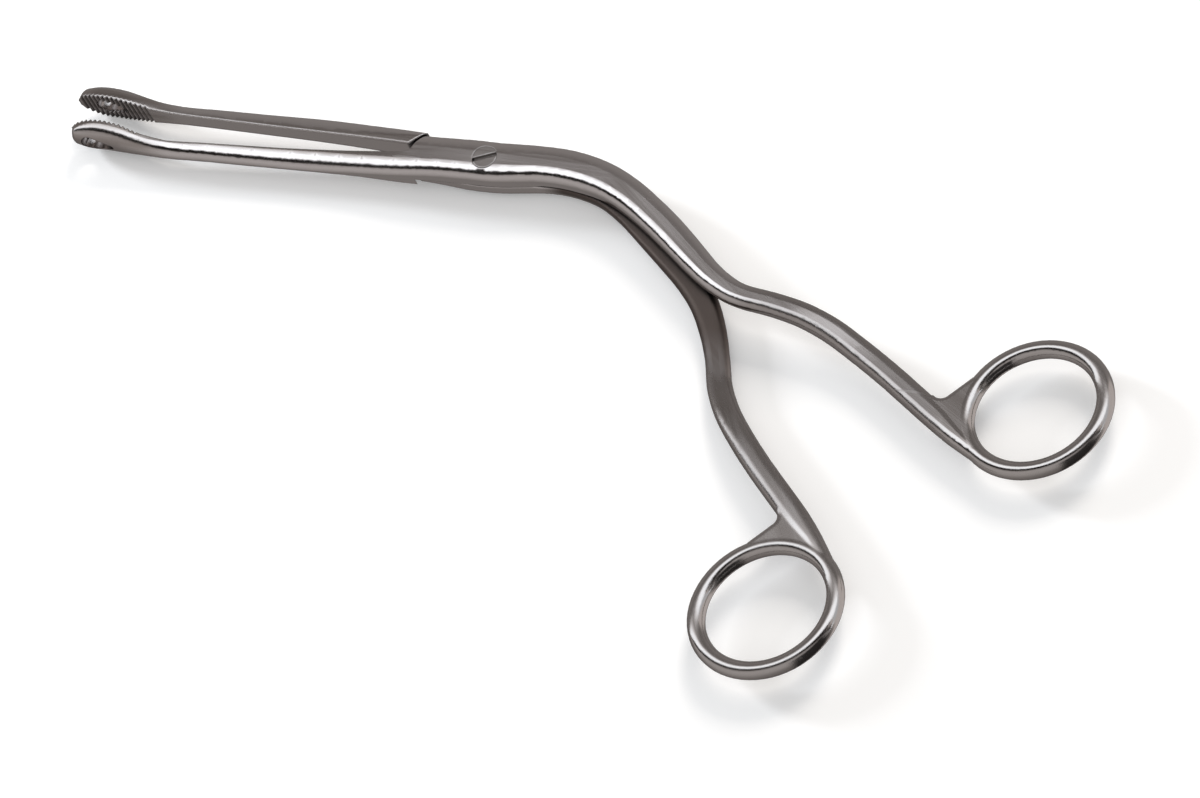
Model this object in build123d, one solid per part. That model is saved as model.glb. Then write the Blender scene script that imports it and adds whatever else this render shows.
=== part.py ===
from build123d import *
from math import atan2, cos, hypot, radians, sin
import os

os.makedirs("parts", exist_ok=True)

# A pair of airway forceps with finger rings, lying flat. All sizes in millimetres.
# The origin is on the pivot axis, at the underside of the joint. +X runs to the jaw tips,
# +Z is up, and both handles bend away to the -X +Y side.

# Lap joint
lap_half = 4.0              # thickness of one lever in the joint
lap_clearance = 0.03        # from the middle plane to each lap face
lap_relief = 0.15           # the same behind the joint, where the levers must not rub
plate_side_y = -4.4         # far side of the plate in front of the screw
crown_width_share = 0.34    # share of the width that each crowned edge of a plate takes
crown_drop = 1.9            # height of a crowned edge
seam_radius = 0.35          # edge break along the seam between the levers
corner_fullness = 0.5523    # handle length of a rounded corner as a share of its size: 0.5523 makes it circular

tiny = 0.01                 # tolerance when edges are picked by their place

# Pivot screw
screw_head_radius = 2.65
screw_head_height = 1.9
screw_shank_radius = 1.9
screw_thread_radius = 1.5
running_clearance = 0.05
slot_width = 0.9
slot_depth = 0.8
slot_angle = 24.0           # how far the slot is turned from the line of the jaws

# Jaws
upper_tip_x = 98.6
lower_tip_x = 99.9
head_start_x = 74.7
serration_start_x = 82.3
tooth_pitch = 1.15
tooth_depth = 0.5
tooth_land = 0.16           # flat left on each tooth, as a share of the pitch
tip_land = 0.3              # least plain length between the last groove and the tip
window_tip_x = 93.3
window_tip_radius = 2.15
window_point_x = 88.2
window_point_radius = 0.7

# Finger rings and the axis that the two handles mirror about
fork = Vector(-61.6, 25.0)
fork_heading = 141.2
ring_along = 63.1
ring_across = 32.9
ring_hole_along = 11.2
ring_hole_across = 12.6
ring_bar_radius = 1.85
web_half = 1.75             # half the thickness of the web between handle and ring
web_edge_to_ring = 13.9     # from its free edge to the middle of the ring
web_edge_least = 2.5        # least length of the free edge
web_hem = 0.5               # how far it reaches past the middle line of the ring's bar, at least
web_edge_radius = 1.0
web_ring_share = 0.36       # where the free edge mostly runs into the ring, as a share of the ring's half width
web_depth_share = 0.2       # how far the web reaches under the ring, as a share of its half length
web_arc_angle = 50          # place on the ring that the hidden edge of the web passes, in degrees
notch_radius = 2.0
notch_across = 19.5         # where the web meets the outer side of the handle bar

# Shaft of one jaw: x, thickness, height to each side of the middle plane
shaft_stations = [
    (38.8, 4.15, 2.10),
    (54.3, 3.65, 1.95),
    (66.0, 3.30, 1.95),
    (head_start_x, 3.00, 2.05),
]
# Head of one jaw: distance from its start as a share of its length, thickness, and the height to each
# side of the middle plane as a share of lap_half
head_stations = [
    (0.21, 3.25, 0.61),
    (0.39, 3.80, 0.78),
    (0.55, 4.20, 0.93),
    (0.69, 4.25, 0.975),
    (0.81, 4.10, 0.925),
    (0.905, 3.55, 0.75),
    (0.968, 2.60, 0.49),
    (1.0, 1.20, 0.20),
]
shaft_dome_share = 0.88     # rounding of the outer side of a jaw, as shares of its thickness and height
head_dome_share = 0.78
dome_height_share = 0.95
# Where the plate narrows to the jaw: x, top, outer side of the upper and of the lower lever, and the
# rounding of the outer bottom edge
root_stations = [
    (11.6, 0.940 * lap_half, 5.10, 4.95, (seam_radius, seam_radius)),
    (19.4, 0.815 * lap_half, 5.65, 5.55, (1.5, 1.0)),
    (29.0, 0.630 * lap_half, 5.95, 6.00, (2.8, 1.8)),
]
root_low = 2.2              # depth of the jaw root below the middle plane
inner_stock = 1.5           # metal past the flat inner face, which the face cut then takes off
stock_edge_radius = 0.3     # edges of that metal

# Flat inner face of each jaw, seen from above, each lever in its own frame
upper_inner_face = [(19.4, 0.8), (29.0, 1.5), (47.5, 2.9), (67.0, 4.1), (74.7, 4.7), (81.0, 4.2),
                    (86.5, 3.0), (90.5, 2.7), (94.5, 2.95), (98.5, 3.6), (102.0, 4.4)]
lower_inner_face = [(19.4, 2.0), (29.0, 2.04), (47.5, 2.04), (67.0, 2.04), (77.0, 2.04), (82.0, 2.1),
                    (87.0, 2.5), (91.0, 2.8), (95.0, 2.85), (99.0, 3.1), (102.0, 3.6)]

# Plate in the joint: x, y of the middle line, width, depth below the middle plane before the lap cut
joint_stations = [(2.9, 0.1, 9.5, 1.6), (-2.5, 0.0, 9.4, 1.2), (-7.8, -0.5, 9.0, 0.6),
                  (-12.6, -0.9, 8.5, -lap_relief), (-17.5, -0.9, 8.3, -lap_relief)]
# Bend of each lever: x, y of the middle line, width
upper_bend = [(-22.3, -0.3, 8.1), (-27.3, 0.9, 7.7), (-33.2, 3.4, 7.3), (-39.1, 6.9, 7.0),
              (-45.2, 11.1, 6.8), (-51.1, 15.6, 6.4), (-56.9, 19.9, 5.7), (-63.3, 23.2, 5.2)]
lower_bend = [(-22.3, -0.2, 8.1), (-27.6, 1.5, 7.7), (-33.5, 5.0, 7.3), (-39.7, 9.8, 7.0),
              (-45.7, 14.6, 6.8), (-51.2, 19.3, 6.4), (-56.0, 24.5, 6.0), (-59.7, 30.4, 5.6)]

# Handle bar from the fork to the ring: along the mirror axis, across it in each lever, width, bottom, top
handle_stations = [
    (8.7, 7.3, 8.7, 5.1, 0.15, 3.90),
    (13.6, 9.9, 11.5, 5.2, -0.10, 3.75),
    (20.0, 12.4, 13.8, 5.3, -1.00, 3.05),
    (28.1, 14.2, 15.3, 5.3, -1.80, 2.25),
    (36.4, 15.5, 16.2, 5.3, -2.05, 2.05),
    (44.6, 16.4, 16.7, 5.3, -2.05, 2.05),
    (51.4, 17.1, 17.1, 5.2, -2.00, 2.00),
    (57.0, 17.55, 17.55, 4.5, -1.90, 1.90),
    (61.5, 18.15, 18.15, 3.8, -1.75, 1.75),
    (65.5, 18.75, 18.75, 3.2, -1.50, 1.50),
    (69.0, 19.60, 19.60, 2.0, -1.00, 1.00),
]
handle_radius = 1.85
edge_limit = 0.45           # most of the width or height that one rounded edge of the handle bar may take
section_step = 3.0          # longest distance, about, between two sections of a forging

# Front end of the plate, and the slanted shoulder behind the jaw root drawn past both sides of the lever,
# seen from above
plate_end = [(12.6, -5.6), (15.6, -3.9), (16.9, -1.7), (17.6, 0.1)]
shoulder = [(21.8, -12.0), (20.8, 0.0), (20.1, 0.9), (15.2, 5.7), (13.2, 12.0)]
lap_end_x = -24.0           # the lap cut ends here, and the sections behind it are above the middle plane


def corner(u, v, du, dv):
    """Quarter of an oval that rounds the corner at (u, v), from (u, v + dv) to (u + du, v)."""
    reach = 1 - corner_fullness
    return Bezier((u, v + dv), (u, v + reach * dv), (u + reach * du, v), (u + du, v))


def section(x, y, heading, width, low, high, corners):
    """Rounded section across the lever. Corners: left top, right top, right bottom, left bottom,
    each with its width and height."""
    plane = Plane(origin=(x, y, 0), x_dir=(-sin(heading), cos(heading), 0), z_dir=(cos(heading), sin(heading), 0))
    half = width / 2
    (a, b), (c, d), (e, f), (g, h) = corners
    outline = Wire([
        Line((half - a, high), (-half + c, high)),
        corner(-half, high, c, -d),
        Line((-half, high - d), (-half, low + f)),
        corner(-half, low, e, f),
        Line((-half + e, low), (half - g, low)),
        corner(half, low, -g, h),
        Line((half, low + h), (half, high - b)),
        corner(half, high, -a, -b),
    ])
    return plane.location * Face(outline)


def from_fork(along, across):
    """Plan position from distances along and across the mirror axis of the handles."""
    heading = radians(fork_heading)
    x = fork.X + along * cos(heading) + across * cos(heading + radians(90))
    y = fork.Y + along * sin(heading) + across * sin(heading + radians(90))
    return x, y


def at_x(points, x):
    """Height of a plan line at x."""
    for (x0, y0), (x1, y1) in zip(points, points[1:]):
        if x0 <= x <= x1:
            return y0 + (y1 - y0) * (x - x0) / (x1 - x0)
    return points[-1][1]


def lever_stations(inner_face, bend, tip_x, side):
    """Sections of one forging from the jaw tip to the ring root, in the lever's own frame:
    x, y, width, bottom, top, corners."""
    shaft = [(x, thick, half, shaft_dome_share) for x, thick, half in shaft_stations]
    head = [(head_start_x + share * (tip_x - head_start_x), thick, tall * lap_half, head_dome_share)
            for share, thick, tall in head_stations]
    stock_edge = (stock_edge_radius, stock_edge_radius)
    seam_edge = (seam_radius, seam_radius)
    stations = []
    for x, thickness, half, dome_share in reversed(shaft + head):
        inner = at_x(inner_face, x) - inner_stock
        outer = at_x(inner_face, x) + thickness
        dome = (dome_share * thickness, dome_height_share * half)
        stations.append((x, (inner + outer) / 2, outer - inner, -half, half, (dome, stock_edge, stock_edge, dome)))
    for x, top, upper_outer, lower_outer, low_edge in reversed(root_stations):
        outer = upper_outer if side > 0 else lower_outer
        width = outer - plate_side_y
        crown = (crown_width_share * width, crown_drop)
        stations.append((x, plate_side_y + width / 2, width, -root_low, top, (crown, crown, seam_edge, low_edge)))
    for x, y, width, depth in joint_stations:
        crown = (crown_width_share * width, crown_drop)
        stations.append((x, y * side, width, -depth, lap_half, (crown, crown, seam_edge, seam_edge)))
    for i, (x, y, width) in enumerate(bend):
        crown = (crown_width_share * width, crown_drop)
        low_radius = seam_radius + (handle_radius - seam_radius) * (i / (len(bend) - 1)) ** 2
        low_edge = (low_radius, low_radius)
        stations.append((x, y * side, width, lap_relief, lap_half, (crown, crown, low_edge, low_edge)))
    for along, upper_across, lower_across, width, low, high in handle_stations:
        across = upper_across if side > 0 else lower_across
        x, y = from_fork(along, across * side)
        edge = (min(handle_radius, edge_limit * width), min(handle_radius, edge_limit * (high - low)))
        stations.append((x, y * side, width, low, high, (edge, edge, edge, edge)))
    return stations


def slope(values, lengths, i):
    """Slope at point i of the parabola through it and its two neighbours."""
    before, after = lengths[i] - lengths[i - 1], lengths[i + 1] - lengths[i]
    rise_before = (values[i] - values[i - 1]) / before
    rise_after = (values[i + 1] - values[i]) / after
    return (rise_before * after + rise_after * before) / (before + after)


def smooth_curve(values, lengths, i, share):
    """Value at a share of the way from point i to the next, on a smooth curve through all points."""
    gap = lengths[i + 1] - lengths[i]
    straight = (values[i + 1] - values[i]) / gap
    start = slope(values, lengths, i) if i > 0 else straight
    end = slope(values, lengths, i + 1) if i + 2 < len(values) else straight
    rest = 1 - share
    bow = gap * share * rest * ((start - straight) * rest - (end - straight) * share)
    return values[i] * rest + values[i + 1] * share + bow


def filled_in(stations):
    """The same stations with others between them, so that none are far apart."""
    rows = [(x, y, width, low, high) + sum(corners, ()) for x, y, width, low, high, corners in stations]
    lengths = [0.0]
    for (x0, y0, *_), (x1, y1, *_) in zip(rows, rows[1:]):
        lengths.append(lengths[-1] + hypot(x1 - x0, y1 - y0))
    columns = list(zip(*rows))
    filled = []
    for i in range(len(rows) - 1):
        parts = max(1, round((lengths[i + 1] - lengths[i]) / section_step))
        for k in range(parts):
            filled.append([smooth_curve(column, lengths, i, k / parts) for column in columns])
    filled.append(rows[-1])
    return [(x, y, width, low, high, (c[0:2], c[2:4], c[4:6], c[6:8])) for x, y, width, low, high, *c in filled]


def lever_blank(inner_face, bend, tip_x, side):
    """One forging before the flat faces are cut. Past the joint its sections turn with the bend."""
    stations = filled_in(lever_stations(inner_face, bend, tip_x, side))
    faces = []
    for i, (x, y, width, low, high, corners) in enumerate(stations):
        ahead = stations[max(i - 1, 0)]
        behind = stations[min(i + 1, len(stations) - 1)]
        heading = 0.0 if x > 0 else atan2(ahead[1] - behind[1], ahead[0] - behind[0])
        faces.append(section(x, y, heading, width, low, high, corners))
    return loft(faces)


def prism(points, low, high):
    """Upright block over a plan polygon."""
    base = Plane.XY.offset(low) * make_face(Polyline(points, close=True))
    return extrude(base, high - low)


def ring_with_web(side):
    """Oval finger ring, and the flat web that fills the corner between it and the handle."""
    half_along = ring_hole_along + ring_bar_radius
    half_across = ring_hole_across + ring_bar_radius
    centre_x, centre_y = from_fork(ring_along, ring_across * side)
    in_place = Location((centre_x, centre_y * side, 0), (0, 0, fork_heading * side))
    path = Ellipse(half_along, half_across).edge()
    bar = Plane(origin=path @ 0, z_dir=path % 0) * Circle(ring_bar_radius)
    ring = sweep(bar, path=path)
    # From here all places are measured from the ring's centre, along and across
    edge = -web_edge_to_ring
    notch = notch_across - ring_across
    ring_side = max(-web_ring_share * half_across, notch + notch_radius + web_edge_least)
    under_ring = -web_depth_share * half_along
    in_handle = min(notch - web_half, -half_across - web_hem)
    notch_middle = notch_radius * (1 - cos(radians(45)))
    arc_middle = (-half_along * cos(radians(web_arc_angle)), -half_across * sin(radians(web_arc_angle)))
    web_outline = Wire([
        Line((edge, ring_side), (edge, notch + notch_radius)),
        ThreePointArc((edge, notch + notch_radius), (edge - notch_middle, notch + notch_middle),
                      (edge - notch_radius, notch)),
        Line((edge - notch_radius, notch), (edge - notch_radius, in_handle)),
        Line((edge - notch_radius, in_handle), (under_ring, in_handle)),
        Line((under_ring, in_handle), (under_ring, -half_across)),
        ThreePointArc((under_ring, -half_across), arc_middle, (edge + ring_bar_radius, ring_side)),
        Line((edge + ring_bar_radius, ring_side), (edge, ring_side)),
    ])
    web = extrude(Plane.XY.offset(-web_half) * Face(web_outline), 2 * web_half)
    flat_edges = web.edges().filter_by(lambda e: abs(e.center().Z) > web_half / 2)
    free_edges = flat_edges.filter_by(lambda e: e.center().X < edge + tiny and e.center().Y > notch - tiny)
    web = fillet(free_edges, web_edge_radius)
    return [in_place * shape for shape in (ring, web)]


def serrations(inner_face, tip_x):
    """Upright three-sided bars that leave the teeth across the flat face of the head."""
    bars = []
    half = (1 - tooth_land) * tooth_pitch / 2
    x = serration_start_x
    while x + half < tip_x - tip_land:
        y = at_x(inner_face, x)
        groove = [(x - half, y - tooth_depth), (x - half, y), (x, y + tooth_depth), (x + half, y),
                  (x + half, y - tooth_depth)]
        bars.append(prism(groove, -2 * lap_half, 2 * lap_half))
        x += tooth_pitch
    return bars


def window(inner_face):
    """Teardrop slot through the head, pointed towards the joint."""
    y = at_x(inner_face, window_tip_x)
    outline = make_hull(
        (Pos(window_tip_x, 0) * Circle(window_tip_radius)).edges()
        + (Pos(window_point_x, 0) * Circle(window_point_radius)).edges()
    )
    side_plane = Plane(origin=(0, y - lap_half, 0), x_dir=(1, 0, 0), z_dir=(0, -1, 0))
    return extrude(side_plane * outline, -4 * lap_half)


def lever(inner_face, bend, tip_x, side):
    """Finished forging in its own frame: joint in the middle plane, plate on top."""
    body = lever_blank(inner_face, bend, tip_x, side)
    body = body.fuse(*ring_with_web(side))
    beyond = 3 * lap_half
    face_cut = plate_end + inner_face + [(inner_face[-1][0], -beyond), (plate_end[0][0], -beyond)]
    lap_cut = [(lap_end_x, -beyond)] + shoulder + [(lap_end_x, beyond)]
    body = body - prism(face_cut, -2 * lap_half, 2 * lap_half)
    body = body - prism(lap_cut, -2 * lap_half, lap_clearance)
    body = body - window(inner_face)
    for bar in serrations(inner_face, tip_x):
        body = body - bar
    return body


upper = lever(upper_inner_face, upper_bend, upper_tip_x, 1)
lower = lever(lower_inner_face, lower_bend, lower_tip_x, -1)

# Screw seat in the upper lever, threaded hole in the lower one
seat_radius = screw_head_radius + running_clearance
seat_depth = screw_head_height + running_clearance
upper = upper - Pos(0, 0, lap_half) * Cylinder(seat_radius, 2 * seat_depth)
upper = upper - Cylinder(screw_shank_radius + running_clearance, 4 * lap_half)
lower = lower.rotate(Axis.X, 180)
lower = lower - Cylinder(screw_thread_radius, 4 * lap_half)

# Screw: flush slotted head, plain shank as far as the lower lap face, thread down to the underside
shank_length = lap_half - screw_head_height + lap_clearance
thread_length = lap_half - lap_clearance
screw = Pos(0, 0, lap_half - screw_head_height / 2) * Cylinder(screw_head_radius, screw_head_height)
screw = screw + Pos(0, 0, lap_half - screw_head_height - shank_length / 2) * Cylinder(screw_shank_radius, shank_length)
screw = screw + Pos(0, 0, -lap_clearance - thread_length / 2) * Cylinder(screw_thread_radius, thread_length)
slot = Box(4 * screw_head_radius, slot_width, 2 * slot_depth)
screw = screw - Pos(0, 0, lap_half) * Rot(0, 0, slot_angle) * slot

nodes = {"upper_lever": upper, "lower_lever": lower, "pivot_screw": screw}
for name, shape in nodes.items():
    solid = shape.solids()[0]
    export_step(Pos(0, 0, lap_half) * solid, "parts/" + name + ".step")
    print(name, len(shape.solids()), solid.is_valid, round(solid.volume))
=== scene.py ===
# %% [markdown]
# # Airway forceps in satin steel
# The CAD model is loaded first as a fixed frame: two forged levers and the screw they turn on.
# Its solids already have the real shapes, so this lesson is about light and about steel:
# how a plain grey solid becomes brushed, handled, slightly worn stainless steel.

# %% Load the frame and keep its box
import math

import bpy
from mathutils import Matrix, Vector

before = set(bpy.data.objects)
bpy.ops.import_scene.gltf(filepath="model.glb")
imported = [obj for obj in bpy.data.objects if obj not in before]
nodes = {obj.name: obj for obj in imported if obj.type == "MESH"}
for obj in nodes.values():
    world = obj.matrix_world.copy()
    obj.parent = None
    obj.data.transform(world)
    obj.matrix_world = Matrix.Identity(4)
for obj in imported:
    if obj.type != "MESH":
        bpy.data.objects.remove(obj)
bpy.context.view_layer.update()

scene = bpy.context.scene

# %% [markdown]
# ## The camera
# The forceps are seen from above and from the handle side, through a long lens, so that near and
# far ends have almost the same scale. The three directions below are the picture's right, down
# and depth directions. They were found by fitting the round rings and the flat joint.

# %% Camera
CAMERA_PLACE = Vector((-0.4143, 0.4539, 0.8035))
PICTURE_RIGHT = Vector((-0.9137, -0.2995, -0.2745))
PICTURE_DOWN = Vector((-0.1326, 0.8586, -0.4953))
PICTURE_DEPTH = Vector((0.3841, -0.4161, -0.8242))
LENS_MM = 144.0
SENSOR_MM = 36.0

camera_data = bpy.data.cameras.new("photo_camera")
camera_data.lens = LENS_MM
camera_data.sensor_width = SENSOR_MM
camera = bpy.data.objects.new("photo_camera", camera_data)
scene.collection.objects.link(camera)
turn = Matrix((PICTURE_RIGHT, -PICTURE_DOWN, -PICTURE_DEPTH)).transposed().to_4x4()
camera.matrix_world = Matrix.Translation(CAMERA_PLACE) @ turn
scene.camera = camera
scene.view_settings.view_transform = "Standard"
print("camera at", tuple(round(v, 3) for v in CAMERA_PLACE), "lens", LENS_MM)

# %% [markdown]
# ## Small helpers for shader nodes
# A procedural material is a chain of nodes. Writing each node by hand takes many lines, so a few
# helpers do the repeated part: they add a node, fill its sockets with numbers or join them to
# other nodes, and hand back what comes out.

# %% Node helpers
FLOAT = "NodeSocketFloat"
VECTOR = "NodeSocketVector"
WHITE = (1.0, 1.0, 1.0, 1.0)


def fill(tree, socket, value):
    """Joins an input socket to an output socket, or gives it a fixed value."""
    if isinstance(value, bpy.types.NodeSocket):
        tree.links.new(value, socket)
    else:
        socket.default_value = value


def add_node(tree, kind, settings=None, **inputs):
    """A new node of that kind. Settings are its properties, inputs its socket values by name."""
    node = tree.nodes.new(kind)
    for name, value in (settings or {}).items():
        setattr(node, name, value)
    for name, value in inputs.items():
        fill(tree, node.inputs[name.replace("_", " ")], value)
    return node


def math_node(tree, operation, first, second=0.0):
    """The result of one arithmetic step."""
    node = add_node(tree, "ShaderNodeMath", {"operation": operation})
    fill(tree, node.inputs[0], first)
    fill(tree, node.inputs[1], second)
    return node.outputs[0]


def step_between(tree, value, low, high, out_low=0.0, out_high=1.0):
    """A smooth change from out_low to out_high as value goes from low to high."""
    node = add_node(tree, "ShaderNodeMapRange", {"interpolation_type": "SMOOTHSTEP"},
                    Value=value, From_Min=low, From_Max=high, To_Min=out_low, To_Max=out_high)
    return node.outputs[0]


def blend_numbers(tree, share, first, second):
    """first where share is 0, second where it is 1."""
    node = add_node(tree, "ShaderNodeMix", {"data_type": "FLOAT"},
                    Factor=share, A=first, B=second)
    return node.outputs["Result"]


def blend_colours(tree, share, first, second):
    """The same for colours."""
    node = add_node(tree, "ShaderNodeMix", {"data_type": "RGBA"},
                    Factor=share, A=first, B=second)
    return node.outputs["Result"]


def blend_shaders(tree, share, first, second):
    """The same for shaders."""
    node = tree.nodes.new("ShaderNodeMixShader")
    for socket, value in zip(node.inputs, (share, first, second)):
        tree.links.new(value, socket)
    return node.outputs[0]


def new_tree(owner, out_kind):
    """The emptied nodes of a material or world, and the Surface socket of a new output node."""
    owner.use_nodes = True
    owner.node_tree.nodes.clear()
    return owner.node_tree, owner.node_tree.nodes.new(out_kind).inputs["Surface"]


def new_group(name, inputs, outputs):
    """An empty node group with named sockets. Returns it with its input and output nodes."""
    group = bpy.data.node_groups.new(name, "ShaderNodeTree")
    for socket_name, kind, value in inputs:
        socket = group.interface.new_socket(socket_name, in_out="INPUT", socket_type=kind)
        if value is not None:
            socket.default_value = value
    for socket_name, kind in outputs:
        group.interface.new_socket(socket_name, in_out="OUTPUT", socket_type=kind)
    return group, group.nodes.new("NodeGroupInput"), group.nodes.new("NodeGroupOutput")


print("helpers ready")

# %% [markdown]
# ## Brushed grain
# A satin finish is made with a fine belt, which leaves hair lines along the metal. A noise
# that is stretched very long one way and squeezed the other way looks the same. The group gives
# a height for the Bump node and a broader streak mask that makes gloss and colour uneven.

# %% Group: brushed grain
GRAIN_WIDTH = 0.0003     # metres across one hair line
GRAIN_LENGTH = 0.02      # metres along it
STREAK_SCALE = 0.13      # scale of the broad streaks' noise beside that of the hair lines

grain_group, grain_in, grain_out = new_group(
    "BrushedGrain",
    [("Position", VECTOR, None), ("Turn", FLOAT, 0.0),
     ("Line Width", FLOAT, GRAIN_WIDTH), ("Line Length", FLOAT, GRAIN_LENGTH)],
    [("Height", FLOAT), ("Streaks", FLOAT)],
)
turned = add_node(grain_group, "ShaderNodeVectorRotate", {"rotation_type": "Z_AXIS"},
                  Vector=grain_in.outputs["Position"], Angle=grain_in.outputs["Turn"])
parts = add_node(grain_group, "ShaderNodeSeparateXYZ", Vector=turned.outputs[0])
along = math_node(grain_group, "DIVIDE", parts.outputs["X"], grain_in.outputs["Line Length"])
across = math_node(grain_group, "DIVIDE", parts.outputs["Y"], grain_in.outputs["Line Width"])
upward = math_node(grain_group, "DIVIDE", parts.outputs["Z"], grain_in.outputs["Line Width"])
stretched = add_node(grain_group, "ShaderNodeCombineXYZ", X=along, Y=across, Z=upward)
fine = add_node(grain_group, "ShaderNodeTexNoise",
                Vector=stretched.outputs[0], Scale=1.0, Detail=3.0)
broad_place = add_node(grain_group, "ShaderNodeVectorMath", {"operation": "SCALE"},
                       Vector=stretched.outputs[0], Scale=STREAK_SCALE)
broad = add_node(grain_group, "ShaderNodeTexNoise",
                 Vector=broad_place.outputs[0], Scale=1.0, Detail=2.0)
grain_group.links.new(fine.outputs[0], grain_out.inputs["Height"])
grain_group.links.new(broad.outputs[0], grain_out.inputs["Streaks"])
print("group", grain_group.name)

# %% [markdown]
# ## Handling marks
# Steel that is washed and handled is never even: there are faint cloudy patches where the shine
# changes, and a few fine scratches that run across the grain. One noise gives the clouds, and a
# thin slice of a second, stretched noise gives the scratches.

# %% Group: handling marks
CLOUD_SIZE = 0.02                        # metres
CLOUD_SLICE = (0.35, 0.65)               # from no cloud to full cloud
SCRATCH_TURN = (0.3, 0.2, 0.9)           # radians
SCRATCH_STRETCH = (60.0, 900.0, 900.0)   # long one way, thin the other two
SCRATCH_SLICE = (0.74, 0.78)             # only the highest peaks of the noise

marks_group, marks_in, marks_out = new_group(
    "HandlingMarks",
    [("Position", VECTOR, None), ("Cloud Size", FLOAT, CLOUD_SIZE)],
    [("Clouds", FLOAT), ("Scratches", FLOAT)],
)
cloud_scale = math_node(marks_group, "DIVIDE", 1.0, marks_in.outputs["Cloud Size"])
cloud = add_node(marks_group, "ShaderNodeTexNoise",
                 Vector=marks_in.outputs["Position"], Scale=cloud_scale, Detail=4.0)
cloud_soft = step_between(marks_group, cloud.outputs[0], *CLOUD_SLICE)
slanted = add_node(marks_group, "ShaderNodeMapping", Vector=marks_in.outputs["Position"],
                   Rotation=SCRATCH_TURN, Scale=SCRATCH_STRETCH)
scratch_noise = add_node(marks_group, "ShaderNodeTexNoise",
                         Vector=slanted.outputs[0], Scale=1.0, Detail=1.0)
scratch = step_between(marks_group, scratch_noise.outputs[0], *SCRATCH_SLICE)
marks_group.links.new(cloud_soft, marks_out.inputs["Clouds"])
marks_group.links.new(scratch, marks_out.inputs["Scratches"])
print("group", marks_group.name)

# %% [markdown]
# ## Steel
# One recipe makes all the steel. What differs is how it was finished. The shafts, the joint and
# the bend are polished until they show a crisp picture of the room, though their flat tops were
# drawn over a fine belt and stay a little rougher. The heads and the rings have a fine satin
# finish, and the handles a coarser one. The screw is finished like the joint, in the colour of
# the rings. The lap face of the lower lever, where it shows behind the joint, is rougher and is
# painted dark for the shade that falls there between the two levers. The regions are found by
# place and by the direction a surface faces, so no texture map is needed.
#
# Two more effects. Shade is painted into the colour where surfaces come close together, in the
# teeth, in the slot, along the seam and next to the floor: an Ambient Occlusion node finds such
# places, and the heads are painted a little darker all over. And a Bevel node rounds the light on
# each hard edge, as a polishing wheel rounds the edge itself.

# %% Steel: places and finishes
# Each pair says from where to where something changes, in metres along the forceps.
# x is 0 at the screw and grows towards the jaw tips.
BEND_STARTS = (-0.032, -0.026)     # the grain turns into the bend
HANDLE_GRAIN = (-0.070, -0.060)    # the grain turns into the handle
HANDLE_STARTS = (-0.074, -0.058)   # the polish gives way to the satin of the handle
POLISH_ENDS = (0.073, 0.081)       # the polish ends at the neck of the head
HEAD_STARTS = (0.079, 0.087)       # the fine satin of the head starts
FINE_REACH = (0.0165, 0.0215)      # from the middle of a ring to just past its bar
UPPER_RING = (-0.13139, 0.0389, 0.004)
LOWER_RING = (-0.09016, 0.09018, 0.004)
SCREW = (0.0, 0.0, 0.0)
FLAT_FACING = (0.985, 0.999)       # upward part of the normal from which a face counts as flat

# How rough each finish is, and how much streaks and marks add to it
MIRROR_ROUGH = 0.095
FLAT_ROUGH = 0.17
FINE_SATIN_ROUGH = 0.12
SATIN_ROUGH = 0.20
LAP_ROUGH = 0.42
STREAKS_ADD = 0.05
CLOUDS_ADD = 0.04
SCRATCHES_ADD = 0.10

LIGHT_STEEL = (0.64, 0.61, 0.60, 1.0)
DARK_STEEL = (0.40, 0.365, 0.345, 1.0)
HANDLE_STEEL = (0.40, 0.375, 0.362, 1.0)
RING_STEEL = (0.54, 0.515, 0.50, 1.0)
LAP_SHADE_COLOUR = (0.135, 0.11, 0.098, 1.0)
# colour of the painted shade in creases, between the parts and next to the floor
CREVICE_SHADE_COLOUR = (0.020, 0.018, 0.018, 1.0)
FINISH_SHARE = 0.8                 # how much of the handle's and ring's own colour is mixed in

# The lap face of the lower lever, where it shows behind the joint beside the upper lever: painted
# dark for the shade between the two levers, and rougher
LAP_SHADE_BEHIND_X = (-0.018, -0.012)
LAP_SHADE_BEFORE_Y = (0.030, 0.050)
LAP_SHADE_ABOVE_Z = (0.0010, 0.0026)

STREAK_SLICE = (0.3, 0.7)          # from dark to light streak
CREVICE_REACH = 0.0025             # how near another surface is for shade to gather
CREVICE_SAMPLES = 6
CREVICE_OPENNESS = (0.35, 0.85)    # from fully shaded to clear
DEEPEST_SHADE = 0.94
SCREW_SHADE = 0.35
HEAD_SHADE = 0.22                  # painted shade: the heads count as this much less open, so they are painted darker
GRAIN_STRENGTH = 0.16
GRAIN_DEPTH = 0.00005
GRAIN_ON_MIRROR = 0.35
EDGE_SAMPLES = 8
EDGE_ROUNDING = 0.0003
SOFT_EDGE_ROUNDING = 0.0008
print("finishes", [MIRROR_ROUGH, FLAT_ROUGH, FINE_SATIN_ROUGH, SATIN_ROUGH, LAP_ROUGH])


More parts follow.
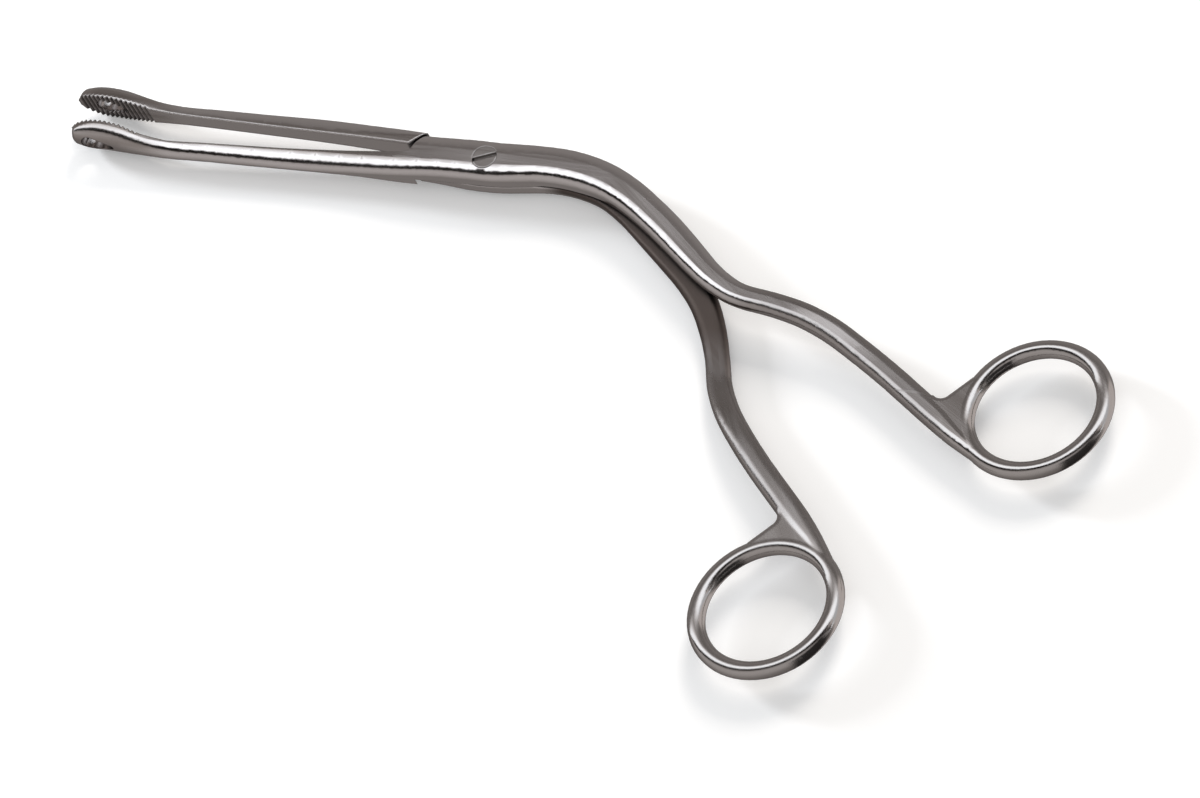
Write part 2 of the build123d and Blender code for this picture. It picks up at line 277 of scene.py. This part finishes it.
# %% Steel: the recipe
def steel(name, bend_turn, handle_turn, fine_centre, shaded_lap=False,
          edge_rounding=EDGE_ROUNDING, deepest_shade=DEEPEST_SHADE):
    """Stainless steel whose grain follows a lever from the jaws through the bend to the ring.

    The two turns of the grain are in degrees. Within FINE_REACH of fine_centre the steel has the
    colour of the rings and, where it isn't polished, their fine satin.
    """
    material = bpy.data.materials.new(name)
    tree, surface = new_tree(material, "ShaderNodeOutputMaterial")
    coordinates = tree.nodes.new("ShaderNodeTexCoord")
    place = coordinates.outputs["Object"]
    axes = add_node(tree, "ShaderNodeSeparateXYZ", Vector=place)
    facing = add_node(tree, "ShaderNodeSeparateXYZ", Vector=coordinates.outputs["Normal"])
    x, y, z = (axes.outputs[letter] for letter in "XYZ")

    # The grain turns with the lever
    straight, bent, handle = (
        add_node(tree, "ShaderNodeGroup", {"node_tree": grain_group}, Position=place, Turn=angle)
        for angle in (0.0, math.radians(bend_turn), math.radians(handle_turn))
    )
    in_bend = step_between(tree, x, *BEND_STARTS, 1.0, 0.0)
    in_handle = step_between(tree, x, *HANDLE_GRAIN, 1.0, 0.0)

    def along_lever(output):
        """One output of the three grain groups, blended from the jaws to the ring."""
        to_bend = blend_numbers(tree, in_bend, straight.outputs[output], bent.outputs[output])
        return blend_numbers(tree, in_handle, to_bend, handle.outputs[output])

    height = along_lever("Height")
    streaks = step_between(tree, along_lever("Streaks"), *STREAK_SLICE)
    marks = add_node(tree, "ShaderNodeGroup", {"node_tree": marks_group}, Position=place)

    # Where each finish is
    before_handle = step_between(tree, x, *HANDLE_STARTS)
    past_handle = math_node(tree, "SUBTRACT", 1.0, before_handle)
    before_head = step_between(tree, x, *POLISH_ENDS, 1.0, 0.0)
    polished = math_node(tree, "MULTIPLY", before_head, before_handle)
    flat = step_between(tree, facing.outputs["Z"], *FLAT_FACING)
    mirror = math_node(tree, "MULTIPLY", polished, math_node(tree, "SUBTRACT", 1.0, flat))
    to_centre = add_node(tree, "ShaderNodeVectorMath", {"operation": "DISTANCE"})
    fill(tree, to_centre.inputs[0], place)
    fill(tree, to_centre.inputs[1], fine_centre)
    in_ring = step_between(tree, to_centre.outputs["Value"], *FINE_REACH, 1.0, 0.0)
    in_head = step_between(tree, x, *HEAD_STARTS)

    fine_satin = math_node(tree, "MAXIMUM", in_ring, in_head)
    satin = blend_numbers(tree, fine_satin, SATIN_ROUGH, FINE_SATIN_ROUGH)
    rough = blend_numbers(tree, polished, satin, FLAT_ROUGH)
    rough = blend_numbers(tree, mirror, rough, MIRROR_ROUGH)
    for mask, amount in ((streaks, STREAKS_ADD), (marks.outputs["Clouds"], CLOUDS_ADD),
                         (marks.outputs["Scratches"], SCRATCHES_ADD)):
        rough = math_node(tree, "ADD", rough, math_node(tree, "MULTIPLY", mask, amount))

    colour = blend_colours(tree, streaks, DARK_STEEL, LIGHT_STEEL)
    colour = blend_colours(tree, mirror, colour, LIGHT_STEEL)
    for mask, metal in ((past_handle, HANDLE_STEEL), (in_ring, RING_STEEL)):
        colour = blend_colours(tree, math_node(tree, "MULTIPLY", mask, FINISH_SHARE), colour, metal)

    # Painted shade on the lap face of the lower lever, in the strip beside the upper lever
    if shaded_lap:
        behind_joint = step_between(tree, x, *LAP_SHADE_BEHIND_X, 1.0, 0.0)
        before_grip = step_between(tree, y, *LAP_SHADE_BEFORE_Y, 1.0, 0.0)
        high = step_between(tree, z, *LAP_SHADE_ABOVE_Z)
        between = math_node(tree, "MULTIPLY", behind_joint, before_grip)
        lap_shade_share = math_node(tree, "MULTIPLY", between, high)
        colour = blend_colours(tree, lap_shade_share, colour, LAP_SHADE_COLOUR)
        rough = blend_numbers(tree, lap_shade_share, rough, LAP_ROUGH)

    # Painted shade: the colour darkens where the Ambient Occlusion node finds other surfaces close
    # by, and a little over the whole head
    openness = add_node(tree, "ShaderNodeAmbientOcclusion", {"samples": CREVICE_SAMPLES},
                        Distance=CREVICE_REACH)
    head_shade = math_node(tree, "MULTIPLY", in_head, HEAD_SHADE)
    open_share = math_node(tree, "SUBTRACT", openness.outputs["AO"], head_shade)
    shade_share = step_between(tree, open_share, *CREVICE_OPENNESS, deepest_shade, 0.0)
    colour = blend_colours(tree, shade_share, colour, CREVICE_SHADE_COLOUR)

    edge = add_node(tree, "ShaderNodeBevel", {"samples": EDGE_SAMPLES}, Radius=edge_rounding)
    grain_share = blend_numbers(tree, mirror, 1.0, GRAIN_ON_MIRROR)
    depth = math_node(tree, "MULTIPLY", height, grain_share)
    bump = add_node(tree, "ShaderNodeBump", Height=depth, Strength=GRAIN_STRENGTH,
                    Distance=GRAIN_DEPTH, Normal=edge.outputs[0])
    shader = add_node(tree, "ShaderNodeBsdfPrincipled", Metallic=1.0, Base_Color=colour,
                      Roughness=rough, Normal=bump.outputs[0])
    tree.links.new(shader.outputs[0], surface)
    return material


def wear(node_name, material):
    """Gives one CAD node its material."""
    for slot in nodes[node_name].material_slots:
        slot.material = material
    print(node_name, "wears", material.name)


wear("upper_lever", steel("upper_lever_steel", bend_turn=37.0, handle_turn=30.0,
                          fine_centre=UPPER_RING))
wear("lower_lever", steel("lower_lever_steel", bend_turn=40.0, handle_turn=58.0,
                          fine_centre=LOWER_RING, shaded_lap=True,
                          edge_rounding=SOFT_EDGE_ROUNDING))
wear("pivot_screw", steel("screw_steel", bend_turn=0.0, handle_turn=0.0,
                          fine_centre=SCREW, deepest_shade=SCREW_SHADE))

# %% [markdown]
# ## Floor
# The forceps lie on a white studio table. The floor is a plain pale sheet that catches the soft
# shadows. For the camera a little glow is added, so that it reads as white paper without more
# light on the steel. Reflections do not see the sheet: what the steel shows from below the
# horizon is part of the room picture in the world.

# %% Floor
FLOOR_SIZE = 4.0
FLOOR_DROP = 0.0002
PAPER = (0.86, 0.86, 0.86, 1.0)
PAPER_GLOW = 0.24

bpy.ops.object.select_all(action="DESELECT")
bpy.ops.mesh.primitive_plane_add(size=FLOOR_SIZE, location=(0.0, 0.0, -FLOOR_DROP))
floor = bpy.context.object
floor.name = "floor"
floor_paper = bpy.data.materials.new("floor_paper")
tree, surface = new_tree(floor_paper, "ShaderNodeOutputMaterial")
ray = tree.nodes.new("ShaderNodeLightPath")
seen_glow = math_node(tree, "MULTIPLY", ray.outputs["Is Camera Ray"], PAPER_GLOW)
paper = add_node(tree, "ShaderNodeBsdfDiffuse", Color=PAPER)
glow = add_node(tree, "ShaderNodeEmission", Color=WHITE, Strength=seen_glow)
both = tree.nodes.new("ShaderNodeAddShader")
tree.links.new(paper.outputs[0], both.inputs[0])
tree.links.new(glow.outputs[0], both.inputs[1])
tree.links.new(both.outputs[0], surface)
floor.data.materials.append(floor_paper)
floor.visible_glossy = False
print("floor", FLOOR_SIZE, "m")

# %% [markdown]
# ## Studio light
# What polished steel shows is the room. Here the room is told by one angle, the one around the
# line of the jaws: the wall behind the forceps is dim, a long soft box hangs overhead, and a
# black curtain hangs just in front of the box, above a grey front wall. The curtain draws the
# thin black line along each rounded edge, the soft box the white band beside it. Away from the
# jaw end this picture is turned a little, so that the band lies well on the bend too. At the
# handle end stand a dark door and a bright wall, which put the dark and the light patches on the
# finger rings. The world gives this picture to reflections only. The camera sees plain white, and
# everything else gets plain soft light.

# %% World
# Angle from straight up towards +Y in degrees, and brightness. Past 90 is below the horizon.
ROOM = (
    (-180.0, 0.10),
    (-90.0, 0.17),
    (-60.0, 0.16),
    (-32.0, 0.11),
    (-24.0, 0.15),
    (-12.0, 1.00),
    (9.0, 1.00),
    (13.0, 0.010),
    (33.0, 0.010),
    (41.0, 0.26),
    (60.0, 0.31),
    (95.0, 0.27),
    (130.0, 0.17),
    (180.0, 0.10),
)
ROOM_BRIGHT = 1.75
DIM_TINT = (1.0, 0.91, 0.87, 1.0)
BRIGHT_TINT = (0.96, 1.0, 1.05, 1.0)
BOX_TURNS_AT_X = 0.384   # the part of a direction along +X below which the soft box turns
BOX_TURN = 0.5           # radians for each unit below it
# Door and wall: from and to, in degrees from -X towards -Y, and brightness
HANDLE_END_WALL = (
    (-48.0, -4.0, 0.03),
    (8.0, 60.0, 0.72),
)
WALL_TOP = (0.60, 0.80)  # upward part of a direction at which door and wall fade out
WALL_SOFTNESS = 0.08     # radians
PLAIN_LIGHT = 0.55

world = bpy.data.worlds.new("studio")
scene.world = world
tree, surface = new_tree(world, "ShaderNodeOutputWorld")
direction = tree.nodes.new("ShaderNodeTexCoord").outputs["Generated"]
axes = add_node(tree, "ShaderNodeSeparateXYZ", Vector=direction)
x, y, z = (axes.outputs[letter] for letter in "XYZ")

angle = math_node(tree, "ARCTAN2", y, z)
behind = math_node(tree, "MAXIMUM", math_node(tree, "SUBTRACT", BOX_TURNS_AT_X, x), 0.0)
angle = math_node(tree, "ADD", angle, math_node(tree, "MULTIPLY", behind, BOX_TURN))
share = math_node(tree, "ADD", math_node(tree, "DIVIDE", angle, 2 * math.pi), 0.5)
ramp = add_node(tree, "ShaderNodeValToRGB", Fac=share)
stops = ramp.color_ramp.elements
for number, (degrees, level) in enumerate(ROOM):
    stop_place = degrees / 360.0 + 0.5
    stop = stops[number] if number < 2 else stops.new(stop_place)  # a new ramp has two
    stop.position = stop_place
    stop.color = (level, level, level, 1.0)
tint = blend_colours(tree, ramp.outputs["Color"], DIM_TINT, BRIGHT_TINT)
room = math_node(tree, "MULTIPLY", ramp.outputs["Color"], ROOM_BRIGHT)

around = math_node(tree, "ARCTAN2", math_node(tree, "MULTIPLY", y, -1.0),
                   math_node(tree, "MULTIPLY", x, -1.0))
low_down = step_between(tree, z, *WALL_TOP, 1.0, 0.0)
for start, end, level in HANDLE_END_WALL:
    middle, half = math.radians((start + end) / 2), math.radians((end - start) / 2)
    off_middle = math_node(tree, "ABSOLUTE", math_node(tree, "SUBTRACT", around, middle))
    inside = step_between(tree, off_middle, half - WALL_SOFTNESS, half + WALL_SOFTNESS, 1.0, 0.0)
    room = blend_numbers(tree, math_node(tree, "MULTIPLY", inside, low_down), room, level)

ray = tree.nodes.new("ShaderNodeLightPath")
picture = add_node(tree, "ShaderNodeBackground", Color=tint, Strength=room)
plain = add_node(tree, "ShaderNodeBackground", Color=WHITE, Strength=PLAIN_LIGHT)
white = add_node(tree, "ShaderNodeBackground", Color=WHITE, Strength=1.0)
lit = blend_shaders(tree, ray.outputs["Is Glossy Ray"], plain.outputs[0], picture.outputs[0])
seen = blend_shaders(tree, ray.outputs["Is Camera Ray"], lit, white.outputs[0])
tree.links.new(seen, surface)
print("room stops", len(stops))

# %% [markdown]
# The lamps only make the shadows: a large warm one at the back throws a soft shadow towards the
# viewer, and a cooler one from the jaw side throws the shadow to the right of the rings. They are
# hidden from reflections, because the soft box that the steel shows is already in the world.

# %% Lamps
LAMP_TARGET = Vector((-0.02, 0.03, 0.0))


def soft_lamp(name, place, size, watts, colour):
    """A square area lamp that looks at the forceps."""
    data = bpy.data.lights.new(name, "AREA")
    data.size = size
    data.energy = watts
    data.color = colour
    lamp = bpy.data.objects.new(name, data)
    scene.collection.objects.link(lamp)
    lamp.location = place
    lamp.rotation_euler = (LAMP_TARGET - Vector(place)).to_track_quat("-Z", "Y").to_euler()
    lamp.visible_glossy = False
    print(name, watts, "W")


soft_lamp("back_soft_box", place=(-0.1, -1.0, 0.60), size=0.40, watts=9.0,
          colour=(1.0, 0.94, 0.88))
soft_lamp("jaw_side_lamp", place=(0.96, -0.24, 0.30), size=0.18, watts=9.5,
          colour=(0.93, 0.96, 1.0))

# %% Done
print("scene ready")
